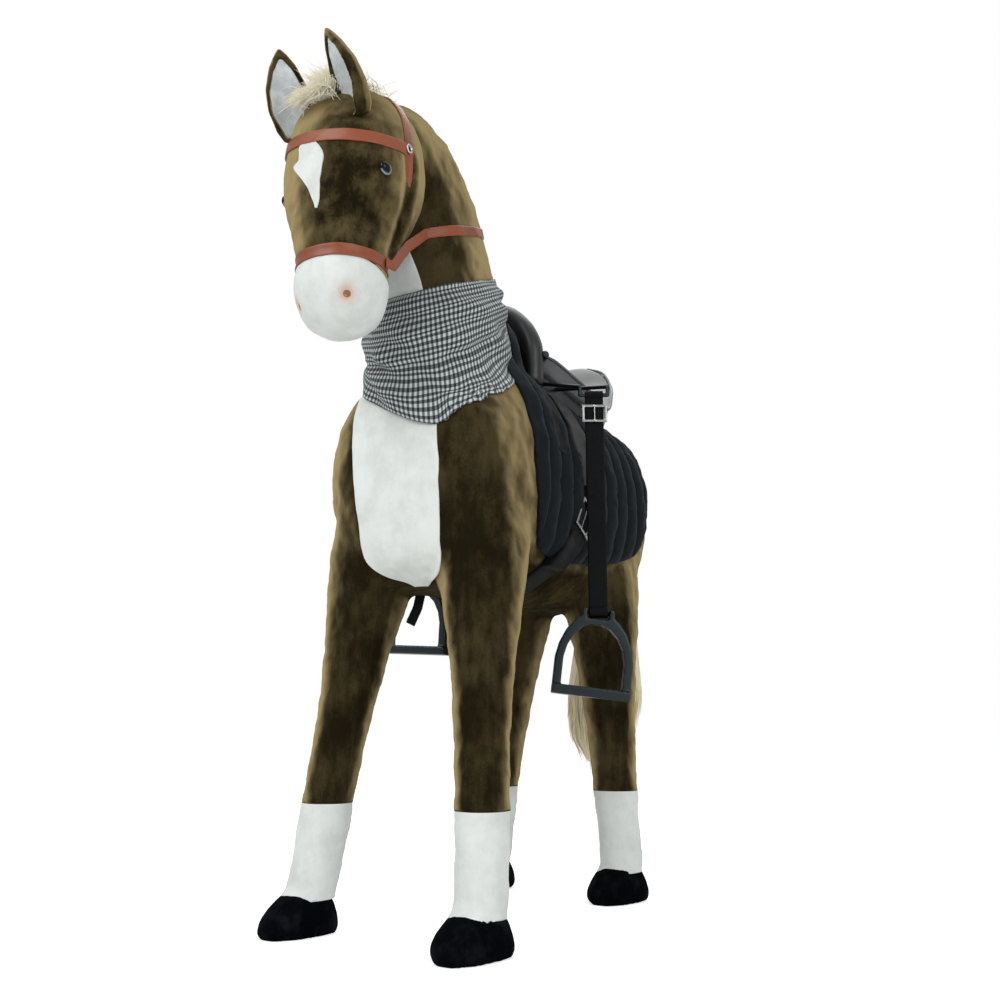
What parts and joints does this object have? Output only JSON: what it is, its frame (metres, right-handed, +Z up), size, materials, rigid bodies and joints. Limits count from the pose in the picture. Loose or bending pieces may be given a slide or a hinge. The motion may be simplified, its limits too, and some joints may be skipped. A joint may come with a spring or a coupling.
{
  "type": "plush riding horse",
  "caption": "Standing plush riding horse on a steel frame, with bridle, neckerchief, quilted pad, saddle, girth and hanging stirrups.",
  "frame": {"origin": "on the floor under the middle of the part's box", "axes": "+Z up, the horse looks along -Y, its left side is +X"},
  "size_m": [0.516, 1.0382, 1.2734],
  "materials": {
    "brown_plush": "short crushed pile, brown with an olive sheen",
    "white_plush": "short white pile",
    "black_plush": "short black pile",
    "cream_hair": "long cream synthetic hair",
    "ear_cloth": "smooth pale grey cloth",
    "brown_leather": "smooth faux leather",
    "black_leather": "smooth glossy faux leather",
    "quilted_cloth": "matt quilted cloth",
    "black_webbing": "woven webbing",
    "gingham": "small black and white checks",
    "black_iron": "satin dark grey",
    "bright_steel": "bright plated",
    "frame_steel": "bare welded tube",
    "eye_plastic": "glossy black"
  },
  "bodies": {
    "horse": {"front_leg_hoop": "frame_steel", "rear_leg_hoop": "frame_steel", "spine_tube": "frame_steel", "neck_tube": "frame_steel", "torso": "brown_plush", "neck": "brown_plush", "left_eye": "eye_plastic", "right_eye": "eye_plastic", "head": "brown_plush", "muzzle": "white_plush", "left_front_leg": "brown_plush", "left_front_sock": "white_plush", "left_front_hoof": "black_plush", "right_front_leg": "brown_plush", "right_front_sock": "white_plush", "right_front_hoof": "black_plush", "left_rear_leg": "brown_plush", "left_rear_sock": "white_plush", "left_rear_hoof": "black_plush", "right_rear_leg": "brown_plush", "right_rear_sock": "white_plush", "right_rear_hoof": "black_plush", "chest_panel": "white_plush", "throat_panel": "white_plush", "noseband": "brown_leather", "headpiece": "brown_leather", "browband": "brown_leather", "blaze": "white_plush", "left_bridle_snap": "bright_steel", "right_bridle_snap": "bright_steel", "reins": "brown_leather", "neckerchief": "gingham", "mane": "cream_hair", "left_ear": "brown_plush", "left_ear_lining": "ear_cloth", "right_ear": "brown_plush", "right_ear_lining": "ear_cloth", "forelock": "cream_hair", "saddle_pad": "quilted_cloth", "saddle_seat": "black_leather", "pommel_roll": "black_leather", "saddle_panel": "black_leather", "left_stirrup_hanger": "black_iron", "right_stirrup_hanger": "black_iron", "left_flap": "black_leather", "left_billet": "black_webbing", "right_flap": "black_leather", "right_billet": "black_webbing", "girth": "black_webbing", "left_girth_buckle": "bright_steel", "right_girth_buckle": "bright_steel"},
    "left_leather": {"left_stirrup_leather": "black_leather", "left_leather_buckle": "bright_steel"},
    "left_iron": {"left_stirrup_iron": "black_iron"},
    "right_leather": {"right_stirrup_leather": "black_leather", "right_leather_buckle": "bright_steel", "right_leather_end": "black_leather"},
    "right_iron": {"right_stirrup_iron": "black_iron"},
    "tail": {"tail": "cream_hair"}
  },
  "joints": [
    {"name": "left_leather_swing", "type": "hinge", "parent": "horse", "child": "left_leather", "pos_m": [0.20712, 0.01745, 0.838], "axis": [0.8572, 0.515, 0], "range_deg": [-60, 3]},
    {"name": "left_iron_swing", "type": "hinge", "parent": "left_leather", "child": "left_iron", "pos_m": [0.20712, 0.01745, 0.46979], "axis": [0.8508, 0.5112, -0.1219], "range_deg": [-60, 60]},
    {"name": "right_leather_swing", "type": "hinge", "parent": "horse", "child": "right_leather", "pos_m": [-0.18688, 0.07345, 0.838], "axis": [0.9848, 0.1736, 0], "range_deg": [-4, 60]},
    {"name": "right_iron_swing", "type": "hinge", "parent": "right_leather", "child": "right_iron", "pos_m": [-0.18688, 0.07345, 0.55471], "axis": [0.9835, 0.1734, -0.0523], "range_deg": [-45, 5]},
    {"name": "tail_swing", "type": "hinge", "parent": "horse", "child": "tail", "pos_m": [0.01012, 0.41845, 0.819], "axis": [1, 0, 0], "range_deg": [0, 60]}
  ]
}
